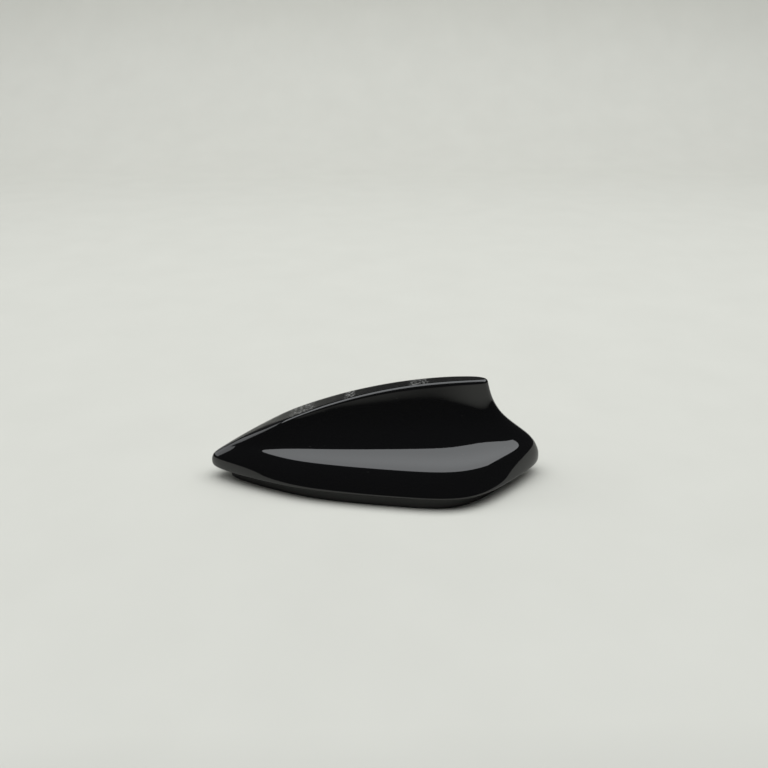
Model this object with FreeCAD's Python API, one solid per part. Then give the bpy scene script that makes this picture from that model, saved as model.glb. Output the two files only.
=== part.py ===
import FreeCAD, Part
import math
import os

from FreeCAD import Vector

# Shark fin roof antenna in millimetres.
# X runs from nose to tail, Z is up, and the roof lies at Z = 0.

# Overall size
FIN_LENGTH = 166.0
FIN_WIDTH = 74.0
FIN_HEIGHT = 51.8
EDGE_LIFT = 6.0           # lower edge of the cover above the roof

# Cover: wall, crest and blade
WALL = 2.2
CREST_START = 8.0         # front end of the crest's arc behind the nose
CREST_START_RISE = 10.6   # the same above the lower edge
CREST_APEX = 35.0         # highest point of the crest ahead of the tail
CREST_EDGE = 1.1          # rounding of both crest edges at the tail
CREST_EDGE_FRONT = 0.05   # the same where the rounding runs out
CREST_RUNOUT = 23.0       # where it runs out, behind the nose
CREST_TOUCH = 0.02        # how near to the crest's arc an edge counts as lying on it
CUT_PAST = 1.0            # how far a cutting body runs past the face it cuts
BLADE_HALF = 4.25         # half thickness of the blade at its root
BLADE_DRAFT = 0.012       # loss of half thickness for each millimetre of height
BLADE_ENDS = 0.8          # share of the half thickness left where nose and tail round over
NOSE_RAKE = 1.1           # how far the blade's front leans back for each millimetre of height

# Plan of the cover's lower edge, nose to tail: share of the length, share of the half width
PLAN = [
    (0.0, 0.0),
    (0.0, 0.114),
    (0.188, 0.527),
    (0.315, 0.745),
    (0.597, 0.973),
    (0.763, 1.053),
    (0.891, 0.590),
    (1.0, 0.111),
    (1.0, 0.0),
]
# Skirt and shoulder: share of the skirt's height, of the plan and of the set-back at nose and tail
SKIRT_HEIGHT = 11.4
NOSE_SETBACK = 10.0       # of the shoulder
TAIL_SETBACK = 29.5       # of the blade's top
SKIRT = [
    (0.0, 0.990, 0.110, 0.010),
    (0.031, 1.006, 0.0, -0.003),
    (0.307, 0.944, 0.100, 0.028),
    (0.594, 0.878, 0.280, 0.070),
    (1.0, 0.767, 1.0, 0.140),
]
# Flare and blade: share of the rise from shoulder to crest, of the plan and of the tail's set-back
BLADE = [
    (0.039, 0.651, 0.150),
    (0.101, 0.442, 0.205),
    (0.235, 0.308, 0.405),
    (0.395, 0.155, 0.640),
    (0.570, 0.084, 0.805),
    (0.802, 0.034, 0.930),
    (1.128, 0.000, 1.0),
]

# Rim seal
SEAL_INSET_TOP = 1.4      # outer lip in from the cover's edge, at the cover
SEAL_INSET_FOOT = 2.3     # the same at the roof
SEAL_END_INSET = 9.0      # set-back at nose and tail
SEAL_WIDTH = 5.2
SEAL_END_WIDTH = 6.0
SEAL_CHANNEL_WIDTH = 1.8  # hollow between the two lips
SEAL_CHANNEL_DEPTH = 3.2

# Base plate and its foot
BASE_GAP = 1.4            # between plate and cover wall
BASE_END_GAP = 4.0        # the same at nose and tail
BASE_THICK = 3.0
FOOT_X = 6.0
FOOT_LENGTH = 56.0
FOOT_WIDTH = 26.0
FOOT_CORNER = 7.0
FOOT_LIFT = 1.2           # foot above the roof
GASKET_WIDTH = 3.5
GASKET_LIFT = 1.6

# Threaded bush for the roof bolt
BUSH_BORE = 2.5
BUSH_RADIUS = 5.0
BUSH_FLANGE_RADIUS = 6.5
BUSH_FLANGE_THICK = 1.0
BUSH_DEPTH = 7.4

# Circuit board
BOARD_RISE = 1.5          # posts between plate and board
BOARD_THICK = 1.6
BOARD_INSET = 7.0         # in from the cover's edge
BOARD_END_INSET = 16.0
BOARD_FRONT = -46.0
BOARD_TAIL_GAP = 23.0     # between board and tail
POST_RADIUS = 3.0

# Satellite patch
PATCH_X = -25.0
PATCH_SIZE = 18.0
PATCH_THICK = 4.0
PATCH_CORNER = 1.0
TAPE_THICK = 0.5
TAPE_MARGIN = 1.0
FEED_PIN_RADIUS = 0.5
FEED_PIN_OFFSET = 1.6
FEED_PIN_HEAD = 1.1
FEED_PIN_HEAD_THICK = 0.3
FEED_PIN_TAIL = 0.8

# Amplifier shield
SHIELD_SETBACK = 18.0     # middle of the shield ahead of the board's rear end
SHIELD_Y = 11.5
SHIELD_LENGTH = 20.0
SHIELD_WIDTH = 15.0
SHIELD_HEIGHT = 3.0
SHIELD_SHEET = 0.3
SHIELD_CORNER = 0.8

# Upright phone radiator, its carrier and its contact spring
RADIATOR_THICK = 0.6
RADIATOR_FRONT = -9.0
RADIATOR_TAIL_GAP = 37.0  # between radiator and tail
RADIATOR_GAP = 2.0        # below the cover's inner crest
RADIATOR_STRIP = 6.0      # sheet left at the closed end of a slot
RADIATOR_SLOT = 1.8
RADIATOR_SLOTS = 5
CARRIER_FRONT = 0.0
CARRIER_REAR = 28.0
CARRIER_WIDTH = 7.0
CARRIER_TOP_WIDTH = 3.4
CARRIER_HEIGHT = 6.5
SPRING_X = -6.5
SPRING_WIDTH = 2.0
SPRING_SHEET = 0.25
SPRING_LENGTH = 4.0
SPRING_HEIGHT = 2.2

# Coaxial sockets
SOCKET_SPACING = 17.0     # from the bush to each socket
SOCKET_OUTER = 10.0
SOCKET_WALL = 1.2
SOCKET_BACK = 1.6
SOCKET_CORNER = 1.0
SOCKET_KEY = 0.8          # coding rib on one wall
SHELL_RADIUS = 2.3
SHELL_WALL = 0.4
SHELL_MOUTH = 4.8         # metal shell's end above the roof
INSULATOR_MOUTH = 6.6
CONTACT_RADIUS = 0.45
CONTACT_MOUTH = 5.2
CONTACT_TAIL = 0.8        # solder tail above the board
CONTACT_GAP = 0.5         # room for the tail in the carrier

# Screws
BOARD_SCREW_RADIUS = 1.25
BOARD_SCREW_HEAD = 2.2
BOARD_SCREW_HEAD_THICK = 1.5
BOARD_SCREW_GRIP = 3.5    # thread in post and plate
BOARD_SCREW_FRONT = 6.0   # front pair in from the board's front end
BOARD_SCREW_REAR = 5.0    # rear pair in from its rear end
BOARD_SCREW_FRONT_Y = 8.0
BOARD_SCREW_REAR_Y = 12.0
COVER_SCREW_RADIUS = 1.4
COVER_SCREW_HEAD = 2.6
COVER_SCREW_HEAD_THICK = 1.5
COVER_SCREW_GRIP = 6.0    # thread in the cover's boss
COVER_SCREW_NOSE = 26.0   # front screw behind the nose
COVER_SCREW_TAIL = 17.0   # rear screw ahead of the tail
COVER_SCREW_SIDE = 12.0   # side screws in from the widest part of the edge
COVER_SCREW_SIDE_TAIL = 59.0
BOSS_RADIUS = 3.0
BOSS_GAP = 0.6            # between boss and board
RECESS_RADIUS = 1.0       # hexagonal driver recess in a screw head
RECESS_DEPTH = 0.8

half_length = FIN_LENGTH / 2
half_width = FIN_WIDTH / 2
shoulder_z = EDGE_LIFT + SKIRT_HEIGHT
base_top = EDGE_LIFT + BASE_THICK
board_low = base_top + BOARD_RISE
board_top = board_low + BOARD_THICK
sheet_low = board_top + SPRING_HEIGHT
crest_top_x = half_length - CREST_APEX
crest_run = crest_top_x + half_length - CREST_START
crest_drop = FIN_HEIGHT - EDGE_LIFT - CREST_START_RISE
crest_radius = (crest_run ** 2 + crest_drop ** 2) / (2 * crest_drop)
crest_centre_z = FIN_HEIGHT - crest_radius
board_rear = half_length - BOARD_TAIL_GAP
radiator_rear = half_length - RADIATOR_TAIL_GAP
shield_x = board_rear - SHIELD_SETBACK
board_screws = [
    (BOARD_FRONT + BOARD_SCREW_FRONT, -BOARD_SCREW_FRONT_Y),
    (BOARD_FRONT + BOARD_SCREW_FRONT, BOARD_SCREW_FRONT_Y),
    (board_rear - BOARD_SCREW_REAR, -BOARD_SCREW_REAR_Y),
    (board_rear - BOARD_SCREW_REAR, BOARD_SCREW_REAR_Y),
]
cover_screws = [
    (-half_length + COVER_SCREW_NOSE, 0.0),
    (half_length - COVER_SCREW_SIDE_TAIL, -half_width + COVER_SCREW_SIDE),
    (half_length - COVER_SCREW_SIDE_TAIL, half_width - COVER_SCREW_SIDE),
    (half_length - COVER_SCREW_TAIL, 0.0),
]
socket_places = {
    "phone": FOOT_X - SOCKET_SPACING,
    "gnss": FOOT_X + SOCKET_SPACING,
}


# Building blocks
def uniform_knots(count):
    inner = count - 3
    knots = [i / inner for i in range(inner + 1)]
    mults = [4] + [1] * (inner - 1) + [4]
    return knots, mults


def spline(points):
    knots, mults = uniform_knots(len(points))
    curve = Part.BSplineCurve()
    curve.buildFromPolesMultsKnots(points, mults, knots, False, 3)
    return curve


def spline_skin(net):
    u_knots, u_mults = uniform_knots(len(net))
    v_knots, v_mults = uniform_knots(len(net[0]))
    skin = Part.BSplineSurface()
    skin.buildFromPolesMultsKnots(net, u_mults, v_mults, u_knots, v_knots, False, False, 3, 3)
    return skin


def rest_parameters(count):
    knots, mults = uniform_knots(count)
    full = [k for k, m in zip(knots, mults) for _ in range(m)]
    return [sum(full[i + 1:i + 4]) / 3 for i in range(count)]


def mirrored(net):
    return [[Vector(p.x, -p.y, p.z) for p in column] for column in net]


def skin_solid(net):
    faces = []
    floors = []
    roofs = []
    for half in (net, mirrored(net)):
        skin = spline_skin(half)
        faces.append(skin.toShape())
        floors.append(skin.vIso(0.0).toShape())
        roofs.append(skin.vIso(1.0).toShape())
    faces.append(Part.Face(Part.Wire(floors)))
    faces.append(Part.Face(Part.Wire(roofs)))
    shell = Part.Shell(faces)
    shell.sewShape()
    solid = Part.Solid(shell)
    if solid.Volume < 0:
        solid.reverse()
    return solid


def outline_wire(half, inset, end_inset, z):
    along = 1 - end_inset / half_length
    across = 1 - inset / half_width
    near = spline([Vector(p.x * along, p.y * across, z) for p in half]).toShape()
    far = spline([Vector(p.x * along, -p.y * across, z) for p in half]).toShape()
    return Part.Wire([near, far])


def outline_prism(half, inset, end_inset, z, height):
    return Part.Face(outline_wire(half, inset, end_inset, z)).extrude(Vector(0, 0, height))


def cylinder(x, y, z, radius, height):
    return Part.makeCylinder(radius, height, Vector(x, y, z))


def block(x, y, z, length, width, height):
    return Part.makeBox(length, width, height, Vector(x - length / 2, y - width / 2, z))


def rounded_block(x, y, z, length, width, height, corner):
    solid = block(x, y, z, length, width, height)
    uprights = [e for e in solid.Edges if e.BoundBox.ZLength > height / 2]
    return solid.makeFillet(corner, uprights)


def crest_z(x, radius):
    return crest_centre_z + math.sqrt(radius ** 2 - (x - crest_top_x) ** 2)


def below_crest(radius, front, rear, low, y, width):
    ends = [Vector(x, y, crest_z(x, radius)) for x in (front, (front + rear) / 2, rear)]
    arc = Part.Arc(*ends).toShape()
    sides = Part.makePolygon([ends[2], Vector(rear, y, low), Vector(front, y, low), ends[0]])
    return Part.Face(Part.Wire([arc] + sides.Edges)).extrude(Vector(0, width, 0))


def side_prism(radius):
    reach = half_length + CUT_PAST
    return below_crest(radius, -reach, reach, -CUT_PAST, -FIN_WIDTH, 2 * FIN_WIDTH)


# Cover: outer skin, hollow, crest rounding and screw bosses
def skin_net():
    rows = []
    for part, share, nose, tail in SKIRT:
        front = -half_length + nose * NOSE_SETBACK
        rows.append((EDGE_LIFT + part * SKIRT_HEIGHT, share, front, half_length - tail * TAIL_SETBACK))
    rise = FIN_HEIGHT - shoulder_z
    for part, share, tail in BLADE:
        front = -half_length + NOSE_SETBACK + NOSE_RAKE * part * rise
        rows.append((shoulder_z + part * rise, share, front, half_length - tail * TAIL_SETBACK))
    net = []
    for i, (along, across) in enumerate(PLAN):
        column = []
        for z, share, front, rear in rows:
            blade = BLADE_HALF - BLADE_DRAFT * max(0.0, z - shoulder_z)
            if i in (0, len(PLAN) - 1):
                blade = 0.0
            elif i in (1, len(PLAN) - 2):
                blade *= BLADE_ENDS
            width = share * across * half_width + (1 - share) * blade
            column.append(Vector(front + along * (rear - front), width, z))
        net.append(column)
    return net


def hollow_net(net):
    skin = spline_skin(net)
    u_rest = rest_parameters(len(net))
    v_rest = rest_parameters(len(net[0]))
    outward = 1 if skin.normal(0.5, 0.5).y > 0 else -1
    inner = []
    for i, column in enumerate(net):
        moved = []
        for j, p in enumerate(column):
            q = p - skin.normal(u_rest[i], v_rest[j]) * outward * WALL
            if i in (0, len(net) - 1):
                q.y = 0
            moved.append(q)
        moved[0] = Vector(moved[2].x, moved[2].y, EDGE_LIFT - CUT_PAST)
        moved[1] = Vector(moved[2].x, moved[2].y, EDGE_LIFT + CUT_PAST)
        inner.append(moved)
    roof = max(p.z for column in inner for p in column)
    for column in inner:
        column[-1].z = roof
    return inner


outer_net = skin_net()
inner_net = hollow_net(outer_net)
edge_line = [Vector(column[0].x, column[0].y, 0) for column in outer_net]
room_line = [Vector(column[0].x, column[0].y, 0) for column in inner_net]


def on_crest(edge):
    span = edge.LastParameter - edge.FirstParameter
    for k in range(5):
        p = edge.valueAt(edge.FirstParameter + span * k / 4)
        if abs(p.z - crest_z(p.x, crest_radius)) > CREST_TOUCH:
            return False
    return True


def cover_body():
    body = skin_solid(outer_net).common(side_prism(crest_radius))
    size = 2 * FIN_LENGTH
    runout = -half_length + CREST_RUNOUT
    front = Part.makeBox(size, size, size, Vector(runout - size, -size / 2, -size / 2))
    nose = body.common(front)
    rear = body.cut(front).Solids[0]
    edges = [e for e in rear.Edges if on_crest(e) and e.Length > half_length]
    return nose.fuse(rear.makeFillet(CREST_EDGE, CREST_EDGE_FRONT, edges))


def fin_cover():
    room = skin_solid(inner_net).common(side_prism(crest_radius - WALL))
    for x, y in cover_screws:
        boss = cylinder(x, y, base_top, BOSS_RADIUS, FIN_HEIGHT)
        boss = boss.cut(cylinder(x, y, base_top, COVER_SCREW_RADIUS, COVER_SCREW_GRIP))
        room = room.cut(boss)
    return cover_body().cut(room)


# Rim seal: tapered outer lip and a channel between two lips
def rim_seal():
    foot = outline_wire(edge_line, SEAL_INSET_FOOT, SEAL_END_INSET, 0.0)
    head = outline_wire(edge_line, SEAL_INSET_TOP, SEAL_END_INSET, EDGE_LIFT)
    ring = Part.makeLoft([foot, head], True, True)
    stretch = SEAL_END_WIDTH / SEAL_WIDTH

    def inside(depth, top):
        inset = SEAL_INSET_TOP + depth
        end_inset = SEAL_END_INSET + depth * stretch
        return outline_prism(edge_line, inset, end_inset, -CUT_PAST, top + CUT_PAST)

    ring = ring.cut(inside(SEAL_WIDTH, EDGE_LIFT + CUT_PAST))
    lip = (SEAL_WIDTH - SEAL_CHANNEL_WIDTH) / 2
    channel = inside(lip, SEAL_CHANNEL_DEPTH)
    core = inside(SEAL_WIDTH - lip, SEAL_CHANNEL_DEPTH)
    return ring.cut(channel.cut(core))


# Base: flange inside the cover with posts for the board, and the foot for the roof's cut-out
def foot_block(margin, low):
    length = FOOT_LENGTH + 2 * margin
    width = FOOT_WIDTH + 2 * margin
    return rounded_block(FOOT_X, 0, low, length, width, EDGE_LIFT - low, FOOT_CORNER + margin)


def socket_block(x, low, high):
    return rounded_block(x, 0, low, SOCKET_OUTER, SOCKET_OUTER, high - low, SOCKET_CORNER)


def base_openings():
    cuts = [socket_block(x, FOOT_LIFT, base_top) for x in socket_places.values()]
    cuts.append(cylinder(FOOT_X, 0, FOOT_LIFT, BUSH_RADIUS, base_top - FOOT_LIFT))
    return cuts


def base_plate():
    plate = outline_prism(room_line, BASE_GAP, BASE_END_GAP, EDGE_LIFT, BASE_THICK)
    for x, y in board_screws:
        plate = plate.fuse(cylinder(x, y, base_top, POST_RADIUS, BOARD_RISE))
        low = board_low - BOARD_SCREW_GRIP
        plate = plate.cut(cylinder(x, y, low, BOARD_SCREW_RADIUS, BOARD_SCREW_GRIP))
    for x, y in cover_screws:
        plate = plate.cut(cylinder(x, y, EDGE_LIFT, COVER_SCREW_RADIUS, BASE_THICK))
        plate = plate.cut(cylinder(x, y, EDGE_LIFT, COVER_SCREW_HEAD, COVER_SCREW_HEAD_THICK))
    return plate.cut(base_openings())


def base_foot():
    return foot_block(0, FOOT_LIFT).cut(base_openings())


def roof_gasket():
    return foot_block(GASKET_WIDTH, GASKET_LIFT).cut(foot_block(0, GASKET_LIFT))


def mount_bush():
    bush = cylinder(FOOT_X, 0, FOOT_LIFT, BUSH_RADIUS, base_top - FOOT_LIFT)
    bush = bush.fuse(cylinder(FOOT_X, 0, base_top, BUSH_FLANGE_RADIUS, BUSH_FLANGE_THICK))
    return bush.cut(cylinder(FOOT_X, 0, FOOT_LIFT, BUSH_BORE, BUSH_DEPTH)).removeSplitter()


# Circuit board and what stands on it
feed_pin_x = PATCH_X + FEED_PIN_OFFSET
patch_low = board_top + TAPE_THICK
patch_top = patch_low + PATCH_THICK


def main_board():
    board = outline_prism(edge_line, BOARD_INSET, BOARD_END_INSET, board_low, BOARD_THICK)
    length = board_rear - BOARD_FRONT
    middle = BOARD_FRONT + length / 2
    board = board.common(block(middle, 0, board_low, length, FIN_WIDTH, BOARD_THICK))
    for x, y in cover_screws:
        board = board.cut(cylinder(x, y, board_low, BOSS_RADIUS + BOSS_GAP, BOARD_THICK))
    for x, y in board_screws:
        board = board.cut(cylinder(x, y, board_low, BOARD_SCREW_RADIUS, BOARD_THICK))
    for x in socket_places.values():
        board = board.cut(cylinder(x, 0, board_low, CONTACT_RADIUS, BOARD_THICK))
    return board.cut(cylinder(feed_pin_x, 0, board_low, FEED_PIN_RADIUS, BOARD_THICK))


def patch_tape():
    size = PATCH_SIZE - 2 * TAPE_MARGIN
    tape = block(PATCH_X, 0, board_top, size, size, TAPE_THICK)
    return tape.cut(cylinder(feed_pin_x, 0, board_top, FEED_PIN_RADIUS, TAPE_THICK))


def gnss_patch():
    patch = rounded_block(PATCH_X, 0, patch_low, PATCH_SIZE, PATCH_SIZE, PATCH_THICK, PATCH_CORNER)
    return patch.cut(cylinder(feed_pin_x, 0, patch_low, FEED_PIN_RADIUS, PATCH_THICK))


def gnss_feed_pin():
    low = board_low - FEED_PIN_TAIL
    pin = cylinder(feed_pin_x, 0, low, FEED_PIN_RADIUS, patch_top - low)
    head = cylinder(feed_pin_x, 0, patch_top, FEED_PIN_HEAD, FEED_PIN_HEAD_THICK)
    return pin.fuse(head)


def amplifier_shield():
    outside = (SHIELD_LENGTH, SHIELD_WIDTH, SHIELD_HEIGHT)
    can = rounded_block(shield_x, SHIELD_Y, board_top, *outside, SHIELD_CORNER)
    length = SHIELD_LENGTH - 2 * SHIELD_SHEET
    width = SHIELD_WIDTH - 2 * SHIELD_SHEET
    return can.cut(block(shield_x, SHIELD_Y, board_top, length, width, SHIELD_HEIGHT - SHIELD_SHEET))


def phone_radiator():
    top = crest_radius - WALL - RADIATOR_GAP
    side = -RADIATOR_THICK / 2
    sheet = below_crest(top, RADIATOR_FRONT, radiator_rear, sheet_low, side, RADIATOR_THICK)
    pitch = (radiator_rear - RADIATOR_FRONT) / (RADIATOR_SLOTS + 1)
    for i in range(RADIATOR_SLOTS):
        x = RADIATOR_FRONT + (i + 1) * pitch
        low = sheet_low + RADIATOR_STRIP
        high = FIN_HEIGHT
        if i % 2:
            low = sheet_low
            high = crest_z(x, top) - RADIATOR_STRIP
        sheet = sheet.cut(block(x, 0, low, RADIATOR_SLOT, CARRIER_WIDTH, high - low))
    return sheet


def radiator_carrier():
    points = []
    for side, half, z in (
        (-1, CARRIER_WIDTH / 2, board_top),
        (1, CARRIER_WIDTH / 2, board_top),
        (1, CARRIER_TOP_WIDTH / 2, board_top + CARRIER_HEIGHT),
        (-1, CARRIER_TOP_WIDTH / 2, board_top + CARRIER_HEIGHT),
    ):
        points.append(Vector(CARRIER_FRONT, side * half, z))
    length = CARRIER_REAR - CARRIER_FRONT
    body = Part.Face(Part.makePolygon(points + points[:1])).extrude(Vector(length, 0, 0))
    middle = CARRIER_FRONT + length / 2
    body = body.cut(block(middle, 0, sheet_low, length, RADIATOR_THICK, CARRIER_HEIGHT))
    for x in socket_places.values():
        pocket = cylinder(x, 0, board_top, CONTACT_RADIUS + CONTACT_GAP, CONTACT_TAIL + CONTACT_GAP)
        body = body.cut(pocket)
    return body


def feed_spring():
    def bend(margin, length):
        height = SPRING_HEIGHT - 2 * margin
        front = SPRING_X - SPRING_LENGTH / 2 + margin + height / 2
        low = board_top + margin
        leg = Part.makeBox(length, SPRING_WIDTH, height, Vector(front, -SPRING_WIDTH / 2, low))
        round_end = Part.makeCylinder(
            height / 2, SPRING_WIDTH, Vector(front, -SPRING_WIDTH / 2, low + height / 2), Vector(0, 1, 0)
        )
        return leg.fuse(round_end)

    return bend(0, SPRING_LENGTH - SPRING_HEIGHT / 2).cut(bend(SPRING_SHEET, 2 * SPRING_LENGTH))


# Coaxial sockets, soldered under the board and open at the foot
def socket_housing(x):
    room = SOCKET_OUTER - 2 * SOCKET_WALL
    back = board_low - SOCKET_BACK
    body = socket_block(x, FOOT_LIFT, board_low)
    body = body.cut(block(x, 0, FOOT_LIFT, room, room, back - FOOT_LIFT))
    rib_y = room / 2 - SOCKET_KEY / 2
    body = body.fuse(block(x, rib_y, FOOT_LIFT, SOCKET_KEY, SOCKET_KEY, back - FOOT_LIFT))
    return body.cut(cylinder(x, 0, back, SHELL_RADIUS, SOCKET_BACK)).removeSplitter()


def socket_shell(x):
    height = board_low - SHELL_MOUTH
    tube = cylinder(x, 0, SHELL_MOUTH, SHELL_RADIUS, height)
    return tube.cut(cylinder(x, 0, SHELL_MOUTH, SHELL_RADIUS - SHELL_WALL, height))


def socket_insulator(x):
    height = board_low - INSULATOR_MOUTH
    plug = cylinder(x, 0, INSULATOR_MOUTH, SHELL_RADIUS - SHELL_WALL, height)
    return plug.cut(cylinder(x, 0, INSULATOR_MOUTH, CONTACT_RADIUS, height))


def socket_contact(x):
    return cylinder(x, 0, CONTACT_MOUTH, CONTACT_RADIUS, board_top + CONTACT_TAIL - CONTACT_MOUTH)


# Screws
def recess(x, y, z, height):
    corners = []
    for k in range(7):
        turn = math.radians(60 * k)
        corners.append(Vector(x + RECESS_RADIUS * math.cos(turn), y + RECESS_RADIUS * math.sin(turn), z))
    return Part.Face(Part.makePolygon(corners)).extrude(Vector(0, 0, height))


def board_screw(x, y):
    shank_low = board_low - BOARD_SCREW_GRIP
    screw = cylinder(x, y, shank_low, BOARD_SCREW_RADIUS, board_top - shank_low)
    screw = screw.fuse(cylinder(x, y, board_top, BOARD_SCREW_HEAD, BOARD_SCREW_HEAD_THICK))
    top = board_top + BOARD_SCREW_HEAD_THICK
    return screw.cut(recess(x, y, top - RECESS_DEPTH, RECESS_DEPTH))


def cover_screw(x, y):
    screw = cylinder(x, y, EDGE_LIFT, COVER_SCREW_HEAD, COVER_SCREW_HEAD_THICK)
    shank = BASE_THICK + COVER_SCREW_GRIP
    screw = screw.fuse(cylinder(x, y, EDGE_LIFT, COVER_SCREW_RADIUS, shank))
    return screw.cut(recess(x, y, EDGE_LIFT, RECESS_DEPTH))


pieces = {
    "fin_cover": fin_cover(),
    "rim_seal": rim_seal(),
    "base_plate": base_plate(),
    "base_foot": base_foot(),
    "roof_gasket": roof_gasket(),
    "mount_bush": mount_bush(),
    "main_board": main_board(),
    "patch_tape": patch_tape(),
    "gnss_patch": gnss_patch(),
    "gnss_feed_pin": gnss_feed_pin(),
    "amplifier_shield": amplifier_shield(),
    "phone_radiator": phone_radiator(),
    "radiator_carrier": radiator_carrier(),
    "feed_spring": feed_spring(),
    "board_screws": Part.makeCompound([board_screw(x, y) for x, y in board_screws]),
    "cover_screws": Part.makeCompound([cover_screw(x, y) for x, y in cover_screws]),
}
for name, x in socket_places.items():
    pieces[name + "_socket_housing"] = socket_housing(x)
    pieces[name + "_socket_shell"] = socket_shell(x)
    pieces[name + "_socket_insulator"] = socket_insulator(x)
    pieces[name + "_socket_contact"] = socket_contact(x)

os.makedirs("parts", exist_ok=True)
for name, shape in pieces.items():
    shape.exportStep("parts/" + name + ".step")
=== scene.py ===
import math

import bpy
import numpy as np
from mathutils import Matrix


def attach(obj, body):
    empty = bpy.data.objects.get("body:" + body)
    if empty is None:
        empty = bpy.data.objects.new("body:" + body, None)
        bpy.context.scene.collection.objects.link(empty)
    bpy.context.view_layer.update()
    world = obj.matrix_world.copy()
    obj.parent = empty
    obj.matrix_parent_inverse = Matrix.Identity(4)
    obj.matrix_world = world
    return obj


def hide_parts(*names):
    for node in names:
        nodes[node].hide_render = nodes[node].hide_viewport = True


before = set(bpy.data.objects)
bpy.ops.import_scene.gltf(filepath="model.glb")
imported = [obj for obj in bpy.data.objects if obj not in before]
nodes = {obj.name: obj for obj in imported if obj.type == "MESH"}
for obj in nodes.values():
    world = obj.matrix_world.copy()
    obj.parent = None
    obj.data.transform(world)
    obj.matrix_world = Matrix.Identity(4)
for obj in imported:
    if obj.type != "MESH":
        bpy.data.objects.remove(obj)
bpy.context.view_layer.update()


# Fin cover
# A thin hollow moulding: a flat-topped raked blade that runs out into a teardrop skirt.
# High-gloss black paint over plastic, screwed to the base through bosses inside.
MM = 0.001                # sizes are in millimetres, and meshes in metres
FIN_LENGTH, FIN_WIDTH, FIN_HEIGHT = 166.0, 74.0, 51.8
EDGE_LIFT = 6.0           # lower edge above the roof
WALL = 2.2
WALL_FOOT = 1.0           # upright foot of the wall's inner face
BLADE_HALF, BLADE_DRAFT = 4.25, 0.012
BLADE_NOSE, BLADE_TAIL = 1.3, 0.8        # thickness at the blade's ends, as a share of its middle
SKIRT_HEIGHT, NOSE_SETBACK, TAIL_SETBACK, NOSE_RAKE = 11.4, 10.0, 29.5, 1.1
# Plan of one side: share of the way from nose to tail, share of the half width.
PLAN = [
    (0.0, 0.0), (0.0, 0.114), (0.188, 0.527), (0.315, 0.745), (0.597, 0.973),
    (0.763, 1.053), (0.891, 0.590), (1.0, 0.111), (1.0, 0.0),
]
# Rows up the skirt, as shares of its height, of the plan's width and of the setbacks at nose and tail.
SKIRT = [
    (0.0, 0.990, 0.110, 0.010), (0.031, 1.006, 0.0, -0.003), (0.307, 0.944, 0.100, 0.028),
    (0.594, 0.878, 0.280, 0.070), (1.0, 0.767, 1.0, 0.140),
]
NOSE_BOW = (-0.4, -0.6, 0.6, 1.2, 0.6)   # push of each skirt row at the nose, for a fuller tip
TAIL_BOW = (-0.8, -0.4, 0.6, 1.3, 1.0)   # the same at the tail
# Rows up the blade, as shares of its rise, of the plan's width and of the setback at the tail.
BLADE = [
    (0.039, 0.651, 0.150), (0.101, 0.442, 0.205), (0.235, 0.308, 0.405), (0.395, 0.155, 0.640),
    (0.570, 0.084, 0.805), (0.802, 0.034, 0.930), (1.128, 0.000, 1.0),
]
# The crest is an arc: where it starts behind the nose and over the edge, and its top before the tail.
CREST_START, CREST_START_RISE, CREST_APEX = 8.0, 10.6, 35.0
CREST_EDGE = 1.8          # rounding of the crest's edges along the blade
CREST_EDGE_NOSE = 7.0     # the same at the nose, where crest and sides run together
CREST_EDGE_FROM, CREST_EDGE_TO = -38.0, -70.0
CREST_FLAT = 0.2          # least share of the crest's width that stays flat
NOSE_BLEND, TAIL_BLEND = 30.0, 8.0       # lengths over which the rounding turns round the tips
COLUMNS = 220             # steps from nose to tail on each side
CROWDING = 0.45           # how far these steps crowd towards the two tips
SIDE_ROWS, EDGE_ROWS, CREST_ROWS = 112, 14, 12
ROOM_ROWS, ROOM_TOP_ROWS = 22, 2
TRACE_STEPS = 1600        # steps of the line on which each column meets the crest
TINY, NUDGE = 1e-12, 1e-4                # guard against an empty span, and the step of a slope

half_length, half_width = FIN_LENGTH / 2, FIN_WIDTH / 2
shoulder_z = EDGE_LIFT + SKIRT_HEIGHT
crest_top_x = half_length - CREST_APEX
crest_run = crest_top_x + half_length - CREST_START
crest_drop = FIN_HEIGHT - EDGE_LIFT - CREST_START_RISE
crest_radius = (crest_run ** 2 + crest_drop ** 2) / (2 * crest_drop)


def crest_z(x, radius):
    """Height of the crest's arc, or of another arc about the same centre."""
    return FIN_HEIGHT - crest_radius + np.sqrt(radius ** 2 - (x - crest_top_x) ** 2)


def spline_knots(count):
    """Knots of a clamped cubic spline with this many poles."""
    return np.concatenate([[0.0] * 3, np.linspace(0, 1, count - 2), [1.0] * 3])


def pole_weights(count, places):
    """Weights of the spline's poles at places from 0 to 1."""
    knots = spline_knots(count)
    t = np.clip(np.asarray(places, float), 0, 1 - TINY)[:, None]
    weights = ((knots[:-1] <= t) & (t < knots[1:])).astype(float)
    for degree in (1, 2, 3):
        spans = len(knots) - 1 - degree
        starts, ends = knots[:spans], knots[degree + 1:degree + 1 + spans]
        rising = np.maximum(knots[degree:degree + spans] - starts, TINY)
        falling = np.maximum(ends - knots[1:1 + spans], TINY)
        weights = (t - starts) / rising * weights[:, :spans] + (ends - t) / falling * weights[:, 1:spans + 1]
    return weights


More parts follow.
